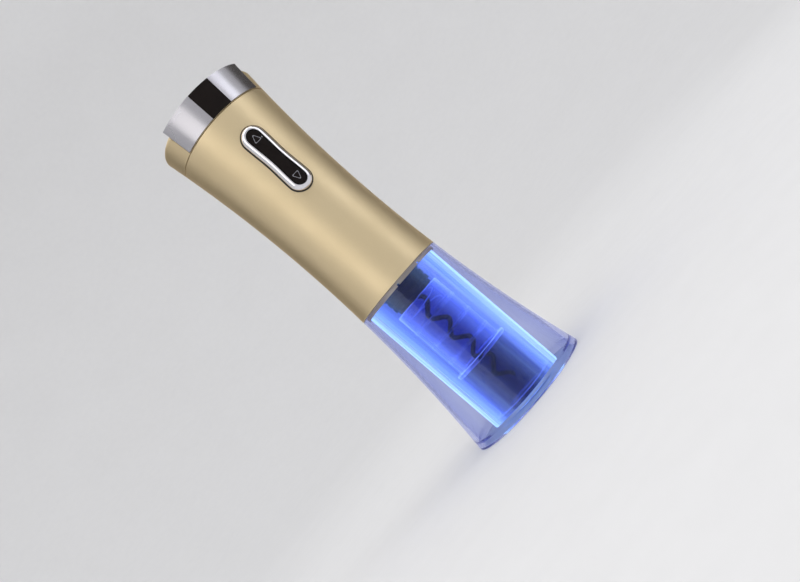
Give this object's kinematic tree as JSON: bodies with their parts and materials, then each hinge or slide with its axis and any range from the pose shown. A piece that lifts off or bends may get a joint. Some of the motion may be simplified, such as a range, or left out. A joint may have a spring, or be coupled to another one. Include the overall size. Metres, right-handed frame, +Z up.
{
  "type": "electric wine opener",
  "caption": "Upright battery-powered corkscrew with a champagne metal body, a clear lit bell around the worm, a rocker button and a foil cutter nested in its cap.",
  "frame": {"origin": "centre of the bell's mouth, on the face that it stands on", "axes": "+Z up along the worm's axis to the battery cap, -Y to the front with the rocker button, +X to the right seen from the front"},
  "size_m": [0.0748, 0.0748, 0.224],
  "materials": {
    "champagne_metal": "satin champagne gold",
    "polished_chrome": "polished plating",
    "black_gloss": "gloss black",
    "black_rubber": "matte black",
    "clear_plastic": "clear, polished",
    "lit_plastic": "clear, lit blue from its top edge",
    "blue_clear_plastic": "clear, tinted by blue light",
    "dark_plastic": "fine matte",
    "worm_coating": "non-stick coating",
    "steel": "bright",
    "blade_steel": "ground edge",
    "contact_metal": "nickel plated",
    "bronze": "sintered",
    "gear_plastic": "acetal",
    "circuit_board": "solder mask",
    "lamp_lens": "clear lens over a blue diode",
    "cell_jacket": "printed sleeve, plain",
    "lead_insulation": "PVC"
  },
  "bodies": {
    "opener": {"body_shell": "champagne_metal", "collar_ring": "champagne_metal", "button_bezel": "polished_chrome", "button_gasket": "black_rubber", "clear_bell": "clear_plastic", "light_tube": "lit_plastic", "neck_guide": "blue_clear_plastic", "cork_tube": "blue_clear_plastic", "spindle_housing": "dark_plastic", "cell_holder": "dark_plastic", "motor_cradle": "dark_plastic", "motor_end_cap": "dark_plastic", "push_switches": "dark_plastic", "motor_can": "steel", "motor_plate": "steel", "motor_screws": "steel", "gearbox_screws": "steel", "rocker_pin": "steel", "contact_springs": "contact_metal", "contact_pads": "contact_metal", "spindle_bush": "bronze", "gearbox_ring": "gear_plastic", "switch_board": "circuit_board", "lamp_board": "circuit_board", "lamps": "lamp_lens", "battery_cells": "cell_jacket", "motor_leads": "lead_insulation", "lamp_leads": "lead_insulation"},
    "drill": {"output_carrier": "gear_plastic", "worm": "worm_coating"},
    "middle_stage": {"middle_carrier": "gear_plastic"},
    "rotor": {"motor_shaft": "steel", "motor_pinion": "bronze"},
    "rocker": {"rocker_button": "black_gloss"},
    "cap": {"battery_cap": "champagne_metal", "cap_contacts": "contact_metal"},
    "foil_cutter": {"cutter_bridge": "black_gloss", "cutter_pivots": "steel"},
    "left_jaw": {"left_arm": "polished_chrome", "left_arm_wheel_pins": "steel"},
    "right_jaw": {"right_arm": "polished_chrome", "right_arm_wheel_pins": "steel"},
    "lower_gear_1": {"lower_planet_1": "gear_plastic"},
    "lower_gear_2": {"lower_planet_2": "gear_plastic"},
    "lower_gear_3": {"lower_planet_3": "gear_plastic"},
    "upper_gear_1": {"upper_planet_1": "gear_plastic"},
    "upper_gear_2": {"upper_planet_2": "gear_plastic"},
    "upper_gear_3": {"upper_planet_3": "gear_plastic"},
    "left_front_blade": {"left_front_wheel": "blade_steel"},
    "left_rear_blade": {"left_rear_wheel": "blade_steel"},
    "right_front_blade": {"right_front_wheel": "blade_steel"},
    "right_rear_blade": {"right_rear_wheel": "blade_steel"}
  },
  "joints": [
    {"name": "worm_spin", "type": "hinge", "parent": "opener", "child": "drill", "pos_m": [0, 0, 0.09], "axis": [0, 0, 1], "continuous": true},
    {"name": "middle_spin", "type": "hinge", "parent": "opener", "child": "middle_stage", "pos_m": [0, 0, 0.101], "axis": [0, 0, 1], "continuous": true},
    {"name": "rotor_spin", "type": "hinge", "parent": "opener", "child": "rotor", "pos_m": [0, 0, 0.125], "axis": [0, 0, 1], "continuous": true},
    {"name": "rocker_press", "type": "hinge", "parent": "opener", "child": "rocker", "pos_m": [0, -0.0256, 0.1722], "axis": [1, 0, 0], "range_deg": [-3, 3], "stiffness_Nm_per_rad": 0.3},
    {"name": "cap_twist", "type": "hinge", "parent": "opener", "child": "cap", "pos_m": [0, 0, 0.2073], "axis": [0, 0, 1], "range_deg": [0, 30]},
    {"name": "cutter_lift", "type": "slide", "parent": "cap", "child": "foil_cutter", "axis": [0, 0, 1], "range_m": [0, 0.025]},
    {"name": "left_squeeze", "type": "hinge", "parent": "foil_cutter", "child": "left_jaw", "pos_m": [-0.0042, -0.0255, 0.2125], "axis": [0, 0, -1], "range_deg": [0, 1.2], "stiffness_Nm_per_rad": 0.5},
    {"name": "right_squeeze", "type": "hinge", "parent": "foil_cutter", "child": "right_jaw", "pos_m": [0.0042, -0.0255, 0.2125], "axis": [0, 0, 1], "range_deg": [0, 1.2], "stiffness_Nm_per_rad": 0.5},
    {"name": "lower_gear_1_spin", "type": "hinge", "parent": "drill", "child": "lower_gear_1", "pos_m": [0.0108, 0, 0.0972], "axis": [0, 0, 1], "continuous": true},
    {"name": "lower_gear_2_spin", "type": "hinge", "parent": "drill", "child": "lower_gear_2", "pos_m": [-0.0054, 0.00935, 0.0972], "axis": [0, 0, 1], "continuous": true},
    {"name": "lower_gear_3_spin", "type": "hinge", "parent": "drill", "child": "lower_gear_3", "pos_m": [-0.0054, -0.00935, 0.0972], "axis": [0, 0, 1], "continuous": true},
    {"name": "upper_gear_1_spin", "type": "hinge", "parent": "middle_stage", "child": "upper_gear_1", "pos_m": [0.0108, 0, 0.1057], "axis": [0, 0, 1], "continuous": true},
    {"name": "upper_gear_2_spin", "type": "hinge", "parent": "middle_stage", "child": "upper_gear_2", "pos_m": [-0.0054, 0.00935, 0.1057], "axis": [0, 0, 1], "continuous": true},
    {"name": "upper_gear_3_spin", "type": "hinge", "parent": "middle_stage", "child": "upper_gear_3", "pos_m": [-0.0054, -0.00935, 0.1057], "axis": [0, 0, 1], "continuous": true},
    {"name": "left_front_roll", "type": "hinge", "parent": "left_jaw", "child": "left_front_blade", "pos_m": [-0.01577, -0.00986, 0.2142], "axis": [0, 0, 1], "continuous": true},
    {"name": "left_rear_roll", "type": "hinge", "parent": "left_jaw", "child": "left_rear_blade", "pos_m": [-0.01577, 0.00986, 0.2142], "axis": [0, 0, 1], "continuous": true},
    {"name": "right_front_roll", "type": "hinge", "parent": "right_jaw", "child": "right_front_blade", "pos_m": [0.01577, -0.00986, 0.2142], "axis": [0, 0, 1], "continuous": true},
    {"name": "right_rear_roll", "type": "hinge", "parent": "right_jaw", "child": "right_rear_blade", "pos_m": [0.01577, 0.00986, 0.2142], "axis": [0, 0, 1], "continuous": true}
  ],
  "couplings": [
    {"joint": "middle_spin", "follows": "worm_spin", "ratio": 6},
    {"joint": "rotor_spin", "follows": "worm_spin", "ratio": 36},
    {"joint": "right_squeeze", "follows": "left_squeeze", "ratio": 1},
    {"joint": "lower_gear_1_spin", "follows": "worm_spin", "ratio": -2.5},
    {"joint": "lower_gear_2_spin", "follows": "worm_spin", "ratio": -2.5},
    {"joint": "lower_gear_3_spin", "follows": "worm_spin", "ratio": -2.5},
    {"joint": "upper_gear_1_spin", "follows": "worm_spin", "ratio": -15},
    {"joint": "upper_gear_2_spin", "follows": "worm_spin", "ratio": -15},
    {"joint": "upper_gear_3_spin", "follows": "worm_spin", "ratio": -15}
  ]
}
